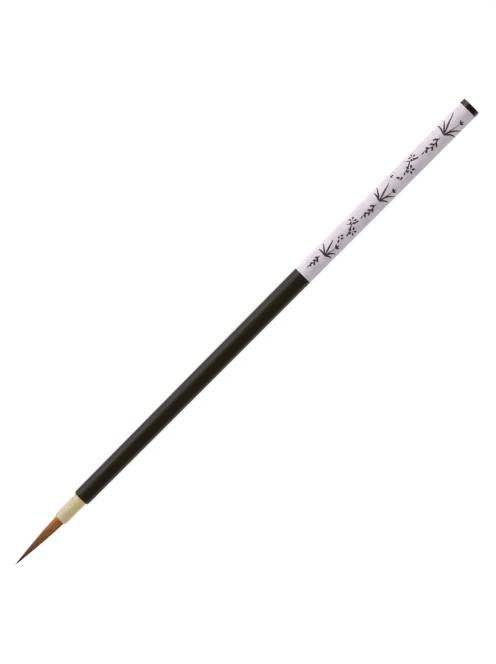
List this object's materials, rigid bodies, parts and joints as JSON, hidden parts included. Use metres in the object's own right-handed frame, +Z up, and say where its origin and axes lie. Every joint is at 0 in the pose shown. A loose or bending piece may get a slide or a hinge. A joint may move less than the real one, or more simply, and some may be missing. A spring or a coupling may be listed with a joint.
{
  "type": "calligraphy brush",
  "caption": "Slim writing brush: pointed brown hair tuft that flexes, pale ferrule, dark lacquered round handle with a patterned paper wrap and a dark end plug.",
  "frame": {"origin": "on the surface that the brush lies on, midway between the hair tip and the top end, under the brush's axis", "axes": "+X along the brush towards its top end, so the hair points to -X; +Z up"},
  "size_m": [0.2, 0.0066, 0.0065],
  "materials": {
    "shaft_lacquer": "satin brown-black lacquer over turned wood or bamboo",
    "washi": "matte lilac mulberry paper with long fibres and brushed ink marks",
    "plug_lacquer": "glossy black",
    "ferrule_ivory": "polished ivory-coloured resin",
    "core_hair": "stiff brown animal hair",
    "cover_hair": "fine brown animal hair",
    "linen_thread": "natural linen",
    "root_resin": "seared hair and resin",
    "glue": "clear amber glue"
  },
  "bodies": {
    "handle": {"handle_shaft": "shaft_lacquer", "washi_wrap": "washi", "end_plug": "plug_lacquer", "ferrule": "ferrule_ivory", "ferrule_glue": "glue", "root_bundle": "core_hair", "binding_thread": "linen_thread", "root_seal": "root_resin", "waist_core_hair": "core_hair", "waist_cover_hair": "cover_hair"},
    "belly": {"belly_core_hair": "core_hair", "belly_cover_hair": "cover_hair"},
    "throat": {"throat_core_hair": "core_hair", "throat_cover_hair": "cover_hair"},
    "life": {"life_hair": "cover_hair"},
    "point": {"point_hair": "core_hair"}
  },
  "joints": [
    {"name": "belly_bend", "type": "hinge", "parent": "handle", "child": "belly", "pos_m": [-0.0845, 0, 0.00326], "axis": [0, 0, 1], "range_deg": [-25, 25], "stiffness_Nm_per_rad": 0.0015},
    {"name": "throat_bend", "type": "hinge", "parent": "belly", "child": "throat", "pos_m": [-0.08898, 0, 0.00326], "axis": [0, 0, 1], "range_deg": [-30, 30], "stiffness_Nm_per_rad": 0.0008},
    {"name": "life_lift", "type": "hinge", "parent": "throat", "child": "life", "pos_m": [-0.09327, 0, 0.00326], "axis": [0, 1, 0], "range_deg": [-25, 25], "stiffness_Nm_per_rad": 0.0004},
    {"name": "point_bend", "type": "hinge", "parent": "life", "child": "point", "pos_m": [-0.09639, 0, 0.00326], "axis": [0, 0, 1], "range_deg": [-33, 33], "stiffness_Nm_per_rad": 0.00015}
  ]
}
